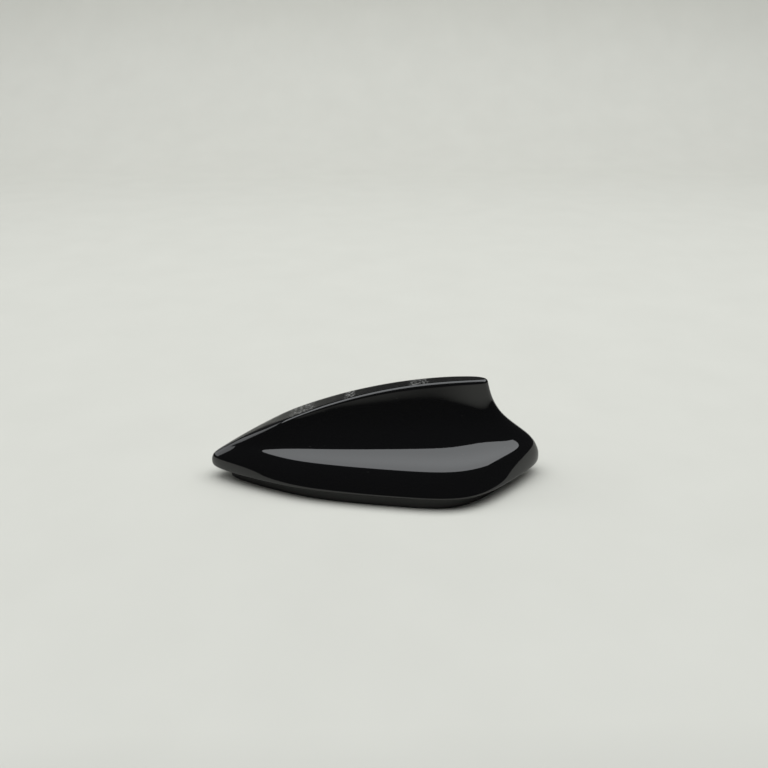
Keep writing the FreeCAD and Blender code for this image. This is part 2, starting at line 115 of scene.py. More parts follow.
def skin_net():
    """Poles of one side of the skin: columns from nose to tail, rows from the lower edge up."""
    rows = []
    for part, share, nose, tail in SKIRT:
        front = -half_length + nose * NOSE_SETBACK
        rows.append((EDGE_LIFT + part * SKIRT_HEIGHT, share, front, half_length - tail * TAIL_SETBACK))
    rise = FIN_HEIGHT - shoulder_z
    for part, share, tail in BLADE:
        front = -half_length + NOSE_SETBACK + NOSE_RAKE * part * rise
        rows.append((shoulder_z + part * rise, share, front, half_length - tail * TAIL_SETBACK))
    last = len(PLAN) - 1
    ends = {0: 0.0, 1: BLADE_NOSE, last - 1: BLADE_TAIL, last: 0.0}
    net = np.zeros((len(PLAN), len(rows), 3))
    for i, (along, across) in enumerate(PLAN):
        for j, (z, share, front, rear) in enumerate(rows):
            blade = ends.get(i, 1.0) * (BLADE_HALF - BLADE_DRAFT * max(0.0, z - shoulder_z))
            width = share * across * half_width + (1 - share) * blade
            net[i, j] = (front + along * (rear - front), width, z)
    for j, (nose, tail) in enumerate(zip(NOSE_BOW, TAIL_BOW)):
        net[:2, j, 0] -= nose
        net[-2:, j, 0] += tail
    return net


def room_net(net):
    """Poles of the hollow: each pole of the skin moved inwards by the wall."""
    def rest(count):
        knots = spline_knots(count)
        return np.array([knots[i + 1:i + 4].mean() for i in range(count)])

    def at(u_places, v_places):
        u_weights = pole_weights(net.shape[0], u_places)
        return np.einsum("ai,bj,ijk->abk", u_weights, pole_weights(net.shape[1], v_places), net)

    u, v = rest(net.shape[0]), rest(net.shape[1])
    along = at(np.minimum(u + NUDGE, 1), v) - at(np.maximum(u - NUDGE, 0), v)
    up = at(u, np.minimum(v + NUDGE, 1)) - at(u, np.maximum(v - NUDGE, 0))
    outward = np.cross(up, along)
    outward /= np.linalg.norm(outward, axis=2, keepdims=True)
    inner = net - outward * WALL
    inner[0, :, 1] = inner[-1, :, 1] = 0
    for j, z in ((0, EDGE_LIFT), (1, EDGE_LIFT + WALL_FOOT)):
        inner[:, j, :2] = inner[:, 2, :2]
        inner[:, j, 2] = z
    inner[:, -1, 2] = inner[:, :, 2].max()
    return inner


def side_columns(net, radius, rows, edge):
    """Points of one side from the lower edge up, its line on the crest, and how far an edge reaches."""
    even = np.linspace(0, 1, COLUMNS + 1)
    places = (1 - CROWDING) * even + CROWDING * (1 - np.cos(math.pi * even)) / 2
    columns = np.einsum("ai,ijk->ajk", pole_weights(net.shape[0], places), net)
    weights = pole_weights(net.shape[1], np.linspace(0, 1, TRACE_STEPS + 1))
    points, tops, reaches = [], [], []
    for column in columns:
        line = weights @ column
        above = line[:, 2] - crest_z(line[:, 0], radius)
        k = int(np.argmax(above > 0))
        share = above[k - 1] / (above[k - 1] - above[k])
        top = line[k - 1] + share * (line[k] - line[k - 1])
        line = np.vstack([line[:k], top])
        run = np.concatenate([[0], np.cumsum(np.linalg.norm(np.diff(line, axis=0), axis=1))])
        reach = edge(top[0])
        stops = np.linspace(0, run[-1] - reach, rows)
        points.append(np.column_stack([np.interp(stops, run, line[:, a]) for a in range(3)]))
        tops.append(top)
        reaches.append(reach)
    return np.array(points), np.array(tops), np.array(reaches)


def around(points):
    """One side's columns and then the other's, as one closed ring from the nose round the tail."""
    return np.concatenate([points, points[-2:0:-1] * (1, -1, 1)])


def crest_edge(x):
    """Rounding of the crest's edge, which grows smoothly towards the nose."""
    t = np.clip((CREST_EDGE_FROM - x) / (CREST_EDGE_FROM - CREST_EDGE_TO), 0, 1)
    return CREST_EDGE + (CREST_EDGE_NOSE - CREST_EDGE) * t * t * (3 - 2 * t)


# The rounding leaves the side on one line and meets the crest on another, along a conic.
outer = skin_net()
sides, tops, reaches = side_columns(outer, crest_radius, SIDE_ROWS, crest_edge)
from_nose = np.clip(1 - (tops[:, 0] - tops[0, 0]) / NOSE_BLEND, 0, 1)
from_tail = np.clip(1 - (tops[-1, 0] - tops[:, 0]) / TAIL_BLEND, 0, 1)
crest_line = tops.copy()
crest_line[:, 0] += reaches[0] * from_nose ** 2 - reaches[-1] * from_tail ** 2
crest_line[:, 1] -= np.minimum(reaches, (1 - CREST_FLAT) * tops[:, 1])
crest_line[:, 2] = crest_z(crest_line[:, 0], crest_radius)
side_line = sides[:, -1]
to_side, to_crest = side_line - tops, crest_line - tops
cosine = (to_side * to_crest).sum(1)
cosine /= np.linalg.norm(to_side, axis=1) * np.linalg.norm(to_crest, axis=1)
bulge = np.sqrt((1 - np.clip(cosine, -1, 1)) / 2)[:, None]
edge_rows = []
for k in range(1, EDGE_ROWS + 1):
    t = k / EDGE_ROWS
    start, corner, end = (1 - t) ** 2, 2 * t * (1 - t), t ** 2
    point = start * side_line + corner * bulge * tops + end * crest_line
    edge_rows.append(point / (start + corner * bulge + end))
profile = np.concatenate([sides, np.stack(edge_rows, axis=1)], axis=1)
room_sides, _, _ = side_columns(room_net(outer), crest_radius - WALL, ROOM_ROWS, lambda x: 0.0)

vertices, faces, crest_share = [], [], []


def add_points(points, crest):
    """Adds points that lie on the crest to this share, and gives their numbers."""
    first = len(vertices)
    vertices.extend(points)
    crest_share.extend([crest] * len(points))
    return list(range(first, len(vertices)))


def join_rings(low, high):
    """Four-sided faces between two rings of as many points."""
    for a in range(len(low)):
        b = (a + 1) % len(low)
        faces.append((low[a], low[b], high[b], high[a]))


def close_top(ring, radius, crest, cells, flip):
    """Fills the strip inside the last ring from side to side, on an arc of this radius."""
    previous = [ring[0]] * (cells + 1)
    for i in range(1, COLUMNS + 1):
        row = [ring[i]] * (cells + 1)
        if i < COLUMNS:
            opposite = ring[2 * COLUMNS - i]
            near, far = np.array(vertices[ring[i]]), np.array(vertices[opposite])
            strip = near + (far - near) * np.arange(1, cells)[:, None] / cells
            strip[:, 2] = crest_z(strip[:, 0], radius)
            row = [ring[i], *add_points(strip, crest), opposite]
        for k in range(cells):
            corners = list(dict.fromkeys([previous[k], row[k], row[k + 1], previous[k + 1]]))
            if len(corners) > 2:
                faces.append(tuple(corners[::-1] if flip else corners))
        previous = row


rings = []
for j in range(profile.shape[1]):
    rings.append(add_points(around(profile[:, j]), max(0.0, (j - SIDE_ROWS + 1) / EDGE_ROWS)))
for low, high in zip(rings[:-1], rings[1:]):
    join_rings(high, low)
close_top(rings[-1], crest_radius, 1.0, CREST_ROWS, True)
room_rings = [add_points(around(room_sides[:, j]), 0.0) for j in range(ROOM_ROWS)]
for low, high in zip(room_rings[:-1], room_rings[1:]):
    join_rings(low, high)
close_top(room_rings[-1], crest_radius - WALL, 0.0, ROOM_TOP_ROWS, False)
join_rings(rings[0], room_rings[0])

# The screw bosses hang from the inside of the skirt and stop at the base plate.
BOSS_RADIUS, BOSS_BORE, BOSS_BORE_DEPTH, BOSS_FOOT_Z = 3.0, 1.4, 6.0, 9.0
BOSS_SINK = 1.1           # from the outer face down to the boss's top, inside the wall
BOSS_MARGIN = 0.5         # over a short bore, and round the boss where the skin's height is read
BOSS_STEPS = 24
COVER_SCREWS = [(-57.0, 0.0), (24.0, -25.0), (24.0, 25.0), (66.0, 0.0)]


def lathe(rings, steps):
    """Points and faces of a piece turned about the z axis.

    A ring is a height with one radius, or with a radius for each step; radius 0 is a point on the axis.
    """
    points, facets, previous = [], [], None
    turn = np.linspace(0, 2 * math.pi, steps, endpoint=False)
    for z, radius in rings:
        if np.any(radius):
            ring = list(range(len(points), len(points) + steps))
            points += np.column_stack([radius * np.cos(turn), radius * np.sin(turn), [z] * steps]).tolist()
        else:
            ring = [len(points)] * steps
            points.append([0.0, 0.0, z])
        if previous:
            for k in range(steps):
                n = (k + 1) % steps
                facets.append(tuple(dict.fromkeys([previous[k], previous[n], ring[n], ring[k]])))
        previous = ring
    return np.array(points), facets


def new_mesh(name, points, facets):
    """A smooth mesh from points in millimetres."""
    mesh = bpy.data.meshes.new(name)
    mesh.from_pydata((np.array(points) * MM).tolist(), [], facets)
    mesh.shade_smooth()
    return mesh


def new_piece(name, mesh):
    """A new object in the scene, at the origin."""
    piece = bpy.data.objects.new(name, mesh)
    bpy.context.scene.collection.objects.link(piece)
    return piece


edge_roll_rows = SIDE_ROWS // 8          # rows of the rolled lower edge, left out here
skin_points = around(profile[:, edge_roll_rows:]).reshape(-1, 3)
for x, y in COVER_SCREWS:
    near = np.hypot(skin_points[:, 0] - x, skin_points[:, 1] - y) < BOSS_RADIUS + BOSS_MARGIN
    boss_top = skin_points[near, 2].min() - BOSS_SINK
    bore_top = BOSS_FOOT_Z + BOSS_BORE_DEPTH
    if boss_top <= bore_top:
        bore_top = boss_top - BOSS_MARGIN
    points, facets = lathe([
        (bore_top, 0), (bore_top, BOSS_BORE), (BOSS_FOOT_Z, BOSS_BORE),
        (BOSS_FOOT_Z, BOSS_RADIUS), (boss_top, BOSS_RADIUS), (boss_top, 0),
    ], BOSS_STEPS)
    numbers = add_points(points + (x, y, 0.0), 0.0)
    faces += [tuple(numbers[corner] for corner in facet) for facet in facets]

cover_mesh = new_mesh("fin_cover_skin", vertices, faces)
crest_layer = cover_mesh.attributes.new("crest", "FLOAT", "POINT")
crest_layer.data.foreach_set("value", np.array(crest_share, np.float32))
cover_mesh.update()
cover = new_piece("fin_cover_skin", cover_mesh)


def colour(code):
    """sRGB hex to the linear colour that a shader takes."""
    parts = [int(code[k:k + 2], 16) / 255 for k in (1, 3, 5)]
    linear = [p / 12.92 if p <= 0.04045 else ((p + 0.055) / 1.055) ** 2.4 for p in parts]
    return (*linear, 1.0)


def put(tree, node, settings=None, inputs=None):
    """Adds a node by its kind, or takes one that is there, and gives it settings, values and links."""
    if isinstance(node, str):
        node = tree.nodes.new(node)
    for name, value in (settings or {}).items():
        setattr(node, name, value)
    for name, value in (inputs or {}).items():
        if isinstance(value, bpy.types.NodeSocket):
            tree.links.new(value, node.inputs[name])
        else:
            node.inputs[name].default_value = value
    return node


def new_finish(name):
    """A new material, with its tree, its shader and the place on the piece in metres."""
    material = bpy.data.materials.new(name)
    material.use_nodes = True
    tree = material.node_tree
    place = put(tree, "ShaderNodeTexCoord").outputs["Object"]
    return material, tree, tree.nodes["Principled BSDF"], place


# Piano-black lacquer: a deep black under a clear gloss that mirrors its surroundings,
# with faint ripple from spraying, specks of dust, and dull scuffs along the top of the crest.
SCUFFS = [(-36.0, 6.0), (-12.5, 2.5), (21.0, 4.5)]     # middle along the fin, and half length
SCUFF_START, SCUFF_FULL = 1.2, 0.7                     # shares of the half length between which it fades
lacquer, tree, skin, place = new_finish("piano_black_lacquer")
smear = put(tree, "ShaderNodeTexNoise", None, {"Vector": place, "Scale": 1 / (20 * MM), "Detail": 4.0})
smear_rough = put(tree, "ShaderNodeMapRange", None, {
    "Value": smear.outputs["Fac"], "From Min": 0.45, "From Max": 0.75, "To Min": 0.025, "To Max": 0.07,
})
scuff_place = put(tree, "ShaderNodeMapping", None, {"Vector": place, "Scale": (0.6, 1.0, 1.0)})
scuff_grain = put(tree, "ShaderNodeTexNoise", None, {
    "Vector": scuff_place.outputs["Vector"], "Scale": 1 / (0.8 * MM), "Detail": 3.0, "Roughness": 0.6,
})
scuff_level = put(tree, "ShaderNodeMapRange", None, {
    "Value": scuff_grain.outputs["Fac"], "From Min": 0.48, "From Max": 0.66,
})
crest = put(tree, "ShaderNodeAttribute", {"attribute_name": "crest"})
on_top = put(tree, "ShaderNodeMapRange", None, {
    "Value": crest.outputs["Fac"], "From Min": 0.70, "From Max": 1.0,
})
top_scuff = put(tree, "ShaderNodeMath", {"operation": "MULTIPLY"}, {
    0: scuff_level.outputs["Result"], 1: on_top.outputs["Result"],
})
along_fin = put(tree, "ShaderNodeSeparateXYZ", None, {"Vector": place})
near_scuff = 0.0
for middle, reach in SCUFFS:
    offset = put(tree, "ShaderNodeMath", {"operation": "SUBTRACT"}, {
        0: along_fin.outputs["X"], 1: middle * MM,
    })
    distance = put(tree, "ShaderNodeMath", {"operation": "ABSOLUTE"}, {0: offset.outputs["Value"]})
    patch = put(tree, "ShaderNodeMapRange", None, {
        "Value": distance.outputs["Value"],
        "From Min": SCUFF_START * reach * MM, "From Max": SCUFF_FULL * reach * MM,
    })
    near_scuff = put(tree, "ShaderNodeMath", {"operation": "MAXIMUM"}, {
        0: patch.outputs["Result"], 1: near_scuff,
    }).outputs["Value"]
scuff = put(tree, "ShaderNodeMath", {"operation": "MULTIPLY"}, {
    0: top_scuff.outputs["Value"], 1: near_scuff,
})
rough = put(tree, "ShaderNodeMix", {"data_type": "FLOAT"}, {
    "Factor": scuff.outputs["Value"], "A": smear_rough.outputs["Result"], "B": 0.5,
})
dust_cells = put(tree, "ShaderNodeTexVoronoi", None, {"Vector": place, "Scale": 1 / (3.5 * MM)})
dust_speck = put(tree, "ShaderNodeMapRange", None, {
    "Value": dust_cells.outputs["Distance"], "From Min": 0.045, "From Max": 0.02,
})
dust_pick = put(tree, "ShaderNodeSeparateColor", None, {"Color": dust_cells.outputs["Color"]})
dust_some = put(tree, "ShaderNodeMath", {"operation": "GREATER_THAN"}, {
    0: dust_pick.outputs["Red"], 1: 0.86,
})
dust = put(tree, "ShaderNodeMath", {"operation": "MULTIPLY"}, {
    0: dust_speck.outputs["Result"], 1: dust_some.outputs["Value"],
})
scuffed = put(tree, "ShaderNodeMix", {"data_type": "RGBA"}, {
    "Factor": scuff.outputs["Value"], "A": colour("#0b0b0c"), "B": colour("#7c7b79"),
})
dusty = put(tree, "ShaderNodeMix", {"data_type": "RGBA"}, {
    "Factor": dust.outputs["Value"], "A": scuffed.outputs["Result"], "B": colour("#6e6d6a"),
})
ripple = put(tree, "ShaderNodeTexNoise", None, {"Vector": place, "Scale": 1 / (4 * MM), "Detail": 2.0})
wave = put(tree, "ShaderNodeBump", None, {
    "Height": ripple.outputs["Fac"], "Strength": 0.02, "Distance": 0.4 * MM,
})
put(tree, skin, None, {
    "IOR": 1.55, "Base Color": dusty.outputs["Result"], "Roughness": rough.outputs["Result"],
    "Normal": wave.outputs["Normal"],
})
cover_mesh.materials.append(lacquer)
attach(cover, "root")
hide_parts("fin_cover")


# Rim seal
# A moulded rubber ring with two lips, pressed under the cover's lower edge.
# It shuts the gap between cover and roof, and the part stands on it.
def dress(names, material):
    """Gives carried-over CAD pieces their finish."""
    for name in names:
        mesh = nodes[name].data
        mesh.materials.clear()
        mesh.materials.append(material)


# Moulded rubber: a dull, slightly uneven black that makes a dark line under the gloss.
seal_rubber, tree, skin, place = new_finish("moulded_black_rubber")
bloom = put(tree, "ShaderNodeTexNoise", None, {"Vector": place, "Scale": 1 / (12 * MM), "Detail": 5.0})
shade = put(tree, "ShaderNodeMix", {"data_type": "RGBA"}, {
    "Factor": bloom.outputs["Fac"], "A": colour("#0b0b0b"), "B": colour("#141413"),
})
rough = put(tree, "ShaderNodeMapRange", None, {
    "Value": bloom.outputs["Fac"], "To Min": 0.55, "To Max": 0.75,
})
grain = put(tree, "ShaderNodeTexNoise", None, {"Vector": place, "Scale": 1 / (0.4 * MM), "Detail": 2.0})
dimples = put(tree, "ShaderNodeBump", None, {
    "Height": grain.outputs["Fac"], "Strength": 0.25, "Distance": 0.1 * MM,
})
put(tree, skin, None, {
    "IOR": 1.52, "Base Color": shade.outputs["Result"], "Roughness": rough.outputs["Result"],
    "Normal": dimples.outputs["Normal"],
})
dress(["rim_seal"], seal_rubber)


# Base plate and foot
# One die casting in bare aluminium alloy, with posts for the board and a foot for the roof's cut-out.
# It carries everything else, and the cover is screwed to it from below.

# Die-cast aluminium: a dull grey metal, slightly cloudy, with soft highlights.
cast_alloy, tree, skin, place = new_finish("die_cast_aluminium")
cloud = put(tree, "ShaderNodeTexNoise", None, {"Vector": place, "Scale": 1 / (10 * MM), "Detail": 6.0})
shade = put(tree, "ShaderNodeMix", {"data_type": "RGBA"}, {
    "Factor": cloud.outputs["Fac"], "A": colour("#a3a4a5"), "B": colour("#c9cacb"),
})
rough = put(tree, "ShaderNodeMapRange", None, {
    "Value": cloud.outputs["Fac"], "To Min": 0.35, "To Max": 0.55,
})
grain = put(tree, "ShaderNodeTexNoise", None, {"Vector": place, "Scale": 1 / (0.6 * MM), "Detail": 3.0})
cast_skin = put(tree, "ShaderNodeBump", None, {
    "Height": grain.outputs["Fac"], "Strength": 0.3, "Distance": 0.1 * MM,
})
put(tree, skin, None, {
    "Metallic": 1.0, "Base Color": shade.outputs["Result"], "Roughness": rough.outputs["Result"],
    "Normal": cast_skin.outputs["Normal"],
})
dress(["base_plate", "base_foot"], cast_alloy)


# Roof gasket
# A ring of closed-cell foam rubber round the foot, squeezed against the roof by the bolt.

# Foam rubber: a matt dark grey, with cut cells that show as fine pits.
foam, tree, skin, place = new_finish("closed_cell_foam_rubber")
cells = put(tree, "ShaderNodeTexVoronoi", None, {"Vector": place, "Scale": 1 / (0.7 * MM)})
shade = put(tree, "ShaderNodeMix", {"data_type": "RGBA"}, {
    "Factor": cells.outputs["Distance"], "A": colour("#1b1b1c"), "B": colour("#333335"),
})
pits = put(tree, "ShaderNodeBump", None, {
    "Height": cells.outputs["Distance"], "Strength": 0.5, "Distance": 0.2 * MM,
})
put(tree, skin, None, {
    "Roughness": 0.9, "Base Color": shade.outputs["Result"], "Normal": pits.outputs["Normal"],
})
dress(["roof_gasket"], foam)


# Mounting bush
# A turned steel bush, zinc plated and pressed through foot and plate, with a flange inside.
# The roof bolt screws into its M6 thread from below.
BUSH_X, BUSH_LOW, BUSH_SEAT, BUSH_TOP = 6.0, 1.2, 9.0, 10.0
BUSH_RADIUS, BUSH_FLANGE, BUSH_CHAMFER = 5.0, 6.5, 0.35
THREAD_CREST, THREAD_ROOT, THREAD_PITCH, THREAD_DEPTH = 2.5, 2.95, 1.0, 7.4
TURN_STEPS, PITCH_STEPS = 48, 8
CRISP_ANGLE = math.radians(35)           # an edge sharper than this stays crisp
step_turns = np.arange(TURN_STEPS) / TURN_STEPS


def ridge(turns):
    """Height of a vee thread, from 0 at its root to 1 at its crest."""
    return np.abs(2 * (turns - np.floor(turns)) - 1)


thread_end = BUSH_LOW + THREAD_DEPTH
thread_steps = int(THREAD_DEPTH / THREAD_PITCH * PITCH_STEPS)
bush_rings = [(thread_end, 0)]
for k in range(thread_steps, 0, -1):
    z = BUSH_LOW + THREAD_DEPTH * k / thread_steps
    run_out = np.clip((thread_end - z) / THREAD_PITCH, 0.0, 1.0)
    cut = 1 - ridge((z - BUSH_LOW) / THREAD_PITCH - step_turns)
    bush_rings.append((z, THREAD_CREST + (THREAD_ROOT - THREAD_CREST) * cut * run_out))
bush_rings += [
    (BUSH_LOW, THREAD_ROOT), (BUSH_LOW, BUSH_RADIUS - BUSH_CHAMFER),
    (BUSH_LOW + BUSH_CHAMFER, BUSH_RADIUS), (BUSH_SEAT, BUSH_RADIUS),
    (BUSH_SEAT, BUSH_FLANGE), (BUSH_TOP - BUSH_CHAMFER, BUSH_FLANGE),
    (BUSH_TOP, BUSH_FLANGE - BUSH_CHAMFER), (BUSH_TOP, 0),
]
points, facets = lathe(bush_rings, TURN_STEPS)
bush_mesh = new_mesh("threaded_bush", points + (BUSH_X, 0.0, 0.0), facets)
bush_mesh.set_sharp_from_angle(angle=CRISP_ANGLE)
bush = new_piece("threaded_bush", bush_mesh)

# Zinc plate on steel: a bright pale metal with fine marks round it from turning.
zinc_steel, tree, skin, place = new_finish("zinc_plated_steel")
turning = put(tree, "ShaderNodeMapping", None, {"Vector": place, "Scale": (1.0, 1.0, 8.0)})
marks = put(tree, "ShaderNodeTexNoise", None, {
    "Vector": turning.outputs["Vector"], "Scale": 1 / (2 * MM), "Detail": 4.0,
})
shade = put(tree, "ShaderNodeMix", {"data_type": "RGBA"}, {
    "Factor": marks.outputs["Fac"], "A": colour("#b3b4b0"), "B": colour("#d2d2cd"),
})
rough = put(tree, "ShaderNodeMapRange", None, {
    "Value": marks.outputs["Fac"], "To Min": 0.22, "To Max": 0.38,
})
put(tree, skin, None, {
    "Metallic": 1.0, "Base Color": shade.outputs["Result"], "Roughness": rough.outputs["Result"],
})
bush_mesh.materials.append(zinc_steel)
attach(bush, "root")
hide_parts("mount_bush")


# Screws
# Small plated steel screws with a hexagon recess. Four hold the board to its posts, heads up.
# Four come up through the base plate into the cover's bosses, heads sunk level with the plate.
HEAD_THICK = 1.5
HEAD_CHAMFER = 0.2
RECESS_RADIUS, RECESS_DEPTH = 1.0, 0.8
SCREW_PITCH, SCREW_THREAD = 0.8, 0.18
BOARD_SCREW_HEAD, BOARD_SCREW_SHANK, BOARD_SCREW_LENGTH = 2.2, 1.25, 5.1
COVER_SCREW_HEAD, COVER_SCREW_SHANK, COVER_SCREW_LENGTH = 2.6, 1.4, 7.5
BOARD_TOP_Z = 12.1
BOARD_SCREWS = [(-40.0, -8.0), (-40.0, 8.0), (55.0, -12.0), (55.0, 12.0)]
HEAD_UP, HEAD_DOWN = (0.0, 0.0, 0.0), (math.pi, 0.0, 0.0)


def hexagon(radius):
    """Distance from the middle of a hexagon to its side, for each step of a turn."""
    sector = math.pi / 3
    off_flat = (2 * math.pi * step_turns) % sector - sector / 2
    return radius * math.cos(sector / 2) / np.cos(off_flat)


def screw_mesh(name, head, shank, length):
    """A screw with its head's top at zero and its shank pointing down."""
    rings = [
        (-RECESS_DEPTH, 0), (-RECESS_DEPTH, hexagon(RECESS_RADIUS)), (0.0, hexagon(RECESS_RADIUS)),
        (0.0, head - HEAD_CHAMFER), (-HEAD_CHAMFER, head), (-HEAD_THICK, head),
    ]
    steps = int(length / SCREW_PITCH * PITCH_STEPS)
    for s in range(steps + 1):
        down = length * s / steps
        taper = min(1.0, (length - down) / SCREW_PITCH)
        tooth = ridge(down / SCREW_PITCH + step_turns)
        rings.append((-HEAD_THICK - down, shank - SCREW_THREAD * (1 - tooth * taper)))
    rings.append((-HEAD_THICK - length, 0))
    points, facets = lathe(rings, TURN_STEPS)
    mesh = new_mesh(name, points, [facet[::-1] for facet in facets])
    mesh.set_sharp_from_angle(angle=CRISP_ANGLE)
    return mesh


screw_tree = bpy.data.node_groups.new("screws_in_place", "GeometryNodeTree")
for name, kind in (
    ("Places", "NodeSocketGeometry"), ("Screw", "NodeSocketObject"),
    ("Turn", "NodeSocketRotation"), ("Finish", "NodeSocketMaterial"),
):
    screw_tree.interface.new_socket(name=name, in_out="INPUT", socket_type=kind)
screw_tree.interface.new_socket(name="Screws", in_out="OUTPUT", socket_type="NodeSocketGeometry")
given = put(screw_tree, "NodeGroupInput").outputs
model = put(screw_tree, "GeometryNodeObjectInfo", None, {"Object": given["Screw"]})
set_out = put(screw_tree, "GeometryNodeInstanceOnPoints", None, {
    "Points": given["Places"], "Instance": model.outputs["Geometry"], "Rotation": given["Turn"],
})
solid = put(screw_tree, "GeometryNodeRealizeInstances", None, {"Geometry": set_out.outputs["Instances"]})
plated = put(screw_tree, "GeometryNodeSetMaterial", None, {
    "Geometry": solid.outputs["Geometry"], "Material": given["Finish"],
})
put(screw_tree, "NodeGroupOutput", None, {"Screws": plated.outputs["Geometry"]})
screw_sockets = {s.name: s.identifier for s in screw_tree.interface.items_tree if s.in_out == "INPUT"}


def set_screws(name, node, mesh, places, turn):
    """One plain mesh of a set of like screws, with a head's top at each place."""
    pattern = bpy.data.objects.new(name + "_pattern", mesh)
    holder = new_piece(name + "_places", new_mesh(name + "_places", places, []))
    tool = holder.modifiers.new("screws", "NODES")
    tool.node_group = screw_tree
    tool[screw_sockets["Screw"]] = pattern
    tool[screw_sockets["Turn"]] = turn
    tool[screw_sockets["Finish"]] = zinc_steel
    ready = holder.evaluated_get(bpy.context.evaluated_depsgraph_get())
    placed = bpy.data.meshes.new_from_object(ready)
    bpy.data.objects.remove(holder)
    bpy.data.objects.remove(pattern)
    placed.name = name
    piece = new_piece(name, placed)
    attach(piece, "root")
    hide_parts(node)


board_screw = screw_mesh("board_screw", BOARD_SCREW_HEAD, BOARD_SCREW_SHANK, BOARD_SCREW_LENGTH)
board_places = [(x, y, BOARD_TOP_Z + HEAD_THICK) for x, y in BOARD_SCREWS]
set_screws("board_screw_set", "board_screws", board_screw, board_places, HEAD_UP)
cover_screw = screw_mesh("cover_screw", COVER_SCREW_HEAD, COVER_SCREW_SHANK, COVER_SCREW_LENGTH)
cover_places = [(x, y, EDGE_LIFT) for x, y in COVER_SCREWS]
set_screws("cover_screw_set", "cover_screws", cover_screw, cover_places, HEAD_DOWN)


# Circuit board
# A glass-epoxy board under green solder mask, screwed to the posts of the base plate.

# Solder mask: a half-gloss deep green, with lighter lines where copper tracks lie under it.
board_mask, tree, skin, place = new_finish("green_solder_mask")
tracks = put(tree, "ShaderNodeTexBrick", {"offset": 0.5}, {
    "Vector": place, "Scale": 1 / (4 * MM), "Mortar Size": 0.06,
    "Color1": colour("#0d4a25"), "Color2": colour("#0f4f28"), "Mortar": colour("#1f6f3b"),
})
gloss = put(tree, "ShaderNodeTexNoise", None, {"Vector": place, "Scale": 1 / (6 * MM)})
rough = put(tree, "ShaderNodeMapRange", None, {
    "Value": gloss.outputs["Fac"], "To Min": 0.25, "To Max": 0.4,
})
put(tree, skin, None, {
    "IOR": 1.5, "Base Color": tracks.outputs["Color"], "Roughness": rough.outputs["Result"],
})
dress(["main_board"], board_mask)


# Satellite patch and its adhesive pad
# A pressed and fired block of ceramic, stuck to the board by a pad of white foam tape.

# Sintered ceramic: a matt cream with a fine sandy grain.
sintered, tree, skin, place = new_finish("sintered_ceramic")
grain = put(tree, "ShaderNodeTexNoise", None, {"Vector": place, "Scale": 1 / (0.8 * MM), "Detail": 4.0})
shade = put(tree, "ShaderNodeMix", {"data_type": "RGBA"}, {
    "Factor": grain.outputs["Fac"], "A": colour("#cfc4ac"), "B": colour("#e0d7c2"),
})
put(tree, skin, None, {"Roughness": 0.65, "Base Color": shade.outputs["Result"]})
dress(["gnss_patch"], sintered)

# Foam tape: an off-white cut edge, speckled by its cells.
foam_pad, tree, skin, place = new_finish("white_foam_tape")
cells = put(tree, "ShaderNodeTexVoronoi", None, {"Vector": place, "Scale": 1 / (0.4 * MM)})
shade = put(tree, "ShaderNodeMix", {"data_type": "RGBA"}, {
    "Factor": cells.outputs["Distance"], "A": colour("#d8d8d4"), "B": colour("#ececea"),
})
put(tree, skin, None, {"Roughness": 0.85, "Base Color": shade.outputs["Result"]})
dress(["patch_tape"], foam_pad)


# Amplifier shield
# A folded can of tin-plated steel sheet over the amplifier, soldered to the board.

# Tinplate: a bright metal, faintly streaked along the way that it was rolled.
tinplate, tree, skin, place = new_finish("tin_plated_steel")
rolled = put(tree, "ShaderNodeMapping", None, {"Vector": place, "Scale": (1.0, 14.0, 14.0)})
streaks = put(tree, "ShaderNodeTexNoise", None, {
    "Vector": rolled.outputs["Vector"], "Scale": 1 / (6 * MM), "Detail": 4.0,
})
shade = put(tree, "ShaderNodeMix", {"data_type": "RGBA"}, {
    "Factor": streaks.outputs["Fac"], "A": colour("#bfc0c0"), "B": colour("#dcdddc"),
})
rough = put(tree, "ShaderNodeMapRange", None, {
    "Value": streaks.outputs["Fac"], "To Min": 0.2, "To Max": 0.35,
})
put(tree, skin, None, {
    "Metallic": 1.0, "Base Color": shade.outputs["Result"], "Roughness": rough.outputs["Result"],
})
dress(["amplifier_shield"], tinplate)


# Phone radiator, feed spring, feed pin and socket contacts
# Stamped and turned brass. The sheet stands in its carrier, and the spring feeds it from the board.

# Brass: a warm yellow metal, deeper in colour where it has tarnished.
brass, tree, skin, place = new_finish("stamped_brass")
tarnish = put(tree, "ShaderNodeTexNoise", None, {"Vector": place, "Scale": 1 / (7 * MM), "Detail": 5.0})
shade = put(tree, "ShaderNodeMix", {"data_type": "RGBA"}, {
    "Factor": tarnish.outputs["Fac"], "A": colour("#b08d47"), "B": colour("#dcbb6a"),
})
rough = put(tree, "ShaderNodeMapRange", None, {
    "Value": tarnish.outputs["Fac"], "To Min": 0.2, "To Max": 0.36,
})
put(tree, skin, None, {
    "Metallic": 1.0, "Base Color": shade.outputs["Result"], "Roughness": rough.outputs["Result"],
})
dress(
    ["phone_radiator", "feed_spring", "gnss_feed_pin", "phone_socket_contact", "gnss_socket_contact"],
    brass,
)


# Radiator carrier, socket housings and insulators
# Mouldings in nylon: black for the carrier, dark red and blue for the housings, so that each plug
# finds its own socket. The insulators inside the shells are turned from white PTFE.

